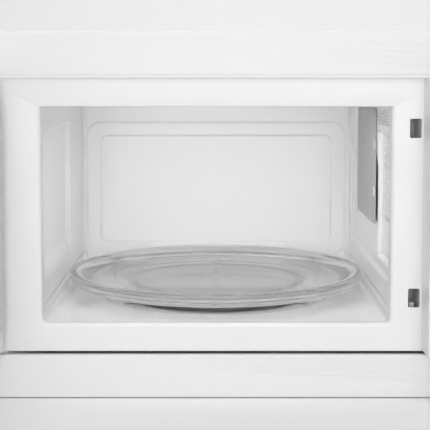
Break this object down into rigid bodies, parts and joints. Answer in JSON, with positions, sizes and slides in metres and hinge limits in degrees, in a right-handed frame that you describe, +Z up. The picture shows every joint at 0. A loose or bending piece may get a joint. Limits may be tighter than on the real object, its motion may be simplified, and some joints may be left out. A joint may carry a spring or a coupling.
{
  "type": "built-in microwave",
  "caption": "Built-in microwave with an open side-hinged door, white enamelled cavity, glass turntable tray, control panel and trim frame",
  "frame": {"origin": "on the shelf, in the middle of the width and in the plane of the cabinet's front edges", "axes": "+X to the right seen from the front, +Y into the cabinet, +Z up"},
  "size_m": [0.6344, 0.8208, 0.345],
  "materials": {
    "white_enamel": "gloss",
    "white_paint": "satin",
    "white_plastic": "satin",
    "grey_steel": "satin",
    "zinc_steel": "satin",
    "mica": "matte",
    "black_rubber": "matte",
    "dark_glass": "gloss",
    "circuit_board": "satin",
    "dark_plastic": "matte",
    "spring_steel": "gloss",
    "aluminium": "satin",
    "core_steel": "matte",
    "copper": "satin",
    "grey_plastic": "satin",
    "lamp_glass": "gloss",
    "door_glass": "gloss",
    "choke_plastic": "satin",
    "tray_glass": "gloss"
  },
  "bodies": {
    "root": {"front_plate": "white_enamel", "cavity_wrap": "white_enamel", "cavity_floor": "white_enamel", "cavity_back": "white_enamel", "waveguide_cover": "mica", "cover_clips": "white_plastic", "outer_case": "grey_steel", "base_pan": "zinc_steel", "rear_panel": "zinc_steel", "cable_gland": "black_rubber", "base_duct": "zinc_steel", "appliance_feet": "black_rubber", "trim_frame": "white_paint", "trim_brackets": "zinc_steel", "bracket_screws": "zinc_steel", "case_screws": "zinc_steel", "upper_hinge": "zinc_steel", "lower_hinge": "zinc_steel", "hinge_pins": "zinc_steel", "control_fascia": "white_plastic", "display_window": "dark_glass", "control_board": "circuit_board", "dial_encoders": "dark_plastic", "button_spring": "spring_steel", "latch_body": "white_plastic", "interlock_switches": "dark_plastic", "waveguide": "zinc_steel", "magnetron": "aluminium", "transformer_core": "core_steel", "transformer_windings": "copper", "capacitor": "aluminium", "high_voltage_diode": "dark_plastic", "fan_shroud": "grey_plastic", "fan_motor": "core_steel", "lamp_holder": "zinc_steel", "oven_lamp": "lamp_glass", "turntable_motor": "zinc_steel"},
    "door": {"door_frame": "white_plastic", "door_glass": "door_glass", "door_screen": "white_enamel", "choke_cover": "choke_plastic", "hinge_bushes": "grey_plastic", "latch_spring": "spring_steel"},
    "latch": {"latch_hooks": "white_plastic"},
    "timer": {"timer_dial": "white_plastic"},
    "power": {"power_dial": "white_plastic"},
    "stop": {"stop_key": "white_plastic"},
    "clock": {"clock_key": "white_plastic"},
    "start": {"start_key": "white_plastic"},
    "button": {"release_button": "white_plastic"},
    "lever": {"release_lever": "white_plastic"},
    "fan": {"fan_impeller": "grey_plastic", "fan_shaft": "spring_steel"},
    "drive": {"drive_coupler": "white_plastic", "motor_shaft": "spring_steel"},
    "tray": {"glass_tray": "tray_glass"},
    "ring": {"roller_ring": "white_plastic"},
    "roller_a": {"roller_1": "white_plastic"},
    "roller_b": {"roller_2": "white_plastic"},
    "roller_c": {"roller_3": "white_plastic"}
  },
  "joints": [
    {"name": "door_swing", "type": "hinge", "parent": "root", "child": "door", "pos_m": [-0.2475, -0.024, 0.173], "axis": [0, 0, 1], "range_deg": [0, 100]},
    {"name": "latch_lift", "type": "slide", "parent": "door", "child": "latch", "axis": [0, 0, 1], "range_m": [0, 0.003], "stiffness_N_per_m": 300, "springref_m": -0.003, "deforming": ["latch_spring"]},
    {"name": "timer_turn", "type": "hinge", "parent": "root", "child": "timer", "pos_m": [0.20625, -0.05, 0.21], "axis": [0, 1, 0], "continuous": true},
    {"name": "power_turn", "type": "hinge", "parent": "root", "child": "power", "pos_m": [0.20625, -0.05, 0.128], "axis": [0, 1, 0], "range_deg": [0, 240]},
    {"name": "stop_press", "type": "slide", "parent": "root", "child": "stop", "axis": [0, 1, 0], "range_m": [0, 0.0012], "stiffness_N_per_m": 600, "springref_m": -0.0008},
    {"name": "clock_press", "type": "slide", "parent": "root", "child": "clock", "axis": [0, 1, 0], "range_m": [0, 0.0012], "stiffness_N_per_m": 600, "springref_m": -0.0008},
    {"name": "start_press", "type": "slide", "parent": "root", "child": "start", "axis": [0, 1, 0], "range_m": [0, 0.0012], "stiffness_N_per_m": 600, "springref_m": -0.0008},
    {"name": "release_press", "type": "slide", "parent": "root", "child": "button", "axis": [0, 1, 0], "range_m": [0, 0.0055], "stiffness_N_per_m": 600, "springref_m": -0.004, "deforming": ["button_spring"]},
    {"name": "lever_turn", "type": "hinge", "parent": "root", "child": "lever", "pos_m": [0.16, -0.001, 0.08], "axis": [1, 0, 0], "range_deg": [0, 17.5]},
    {"name": "fan_spin", "type": "hinge", "parent": "root", "child": "fan", "pos_m": [0.1907, 0.32, 0.194], "axis": [0, 1, 0], "continuous": true},
    {"name": "table_turn", "type": "hinge", "parent": "root", "child": "drive", "pos_m": [-0.0355, 0.1535, 0.08], "axis": [0, 0, 1], "continuous": true},
    {"name": "tray_lift", "type": "slide", "parent": "drive", "child": "tray", "axis": [0, 0, 1], "range_m": [0, 0.05]},
    {"name": "ring_turn", "type": "hinge", "parent": "root", "child": "ring", "pos_m": [-0.0355, 0.1535, 0.07], "axis": [0, 0, 1], "continuous": true},
    {"name": "roller_1_spin", "type": "hinge", "parent": "ring", "child": "roller_a", "pos_m": [0.05543, 0.101, 0.0748], "axis": [0.866, -0.5, 0], "continuous": true},
    {"name": "roller_2_spin", "type": "hinge", "parent": "ring", "child": "roller_b", "pos_m": [-0.0355, 0.2585, 0.0748], "axis": [0, 1, 0], "continuous": true},
    {"name": "roller_3_spin", "type": "hinge", "parent": "ring", "child": "roller_c", "pos_m": [-0.12643, 0.101, 0.0748], "axis": [-0.866, -0.5, 0], "continuous": true}
  ],
  "couplings": [
    {"joint": "ring_turn", "follows": "table_turn", "ratio": 0.5},
    {"joint": "lever_turn", "follows": "release_press", "rad_per_m": 53.947},
    {"joint": "roller_1_spin", "follows": "table_turn", "ratio": 7},
    {"joint": "roller_2_spin", "follows": "table_turn", "ratio": 7},
    {"joint": "roller_3_spin", "follows": "table_turn", "ratio": 7}
  ]
}
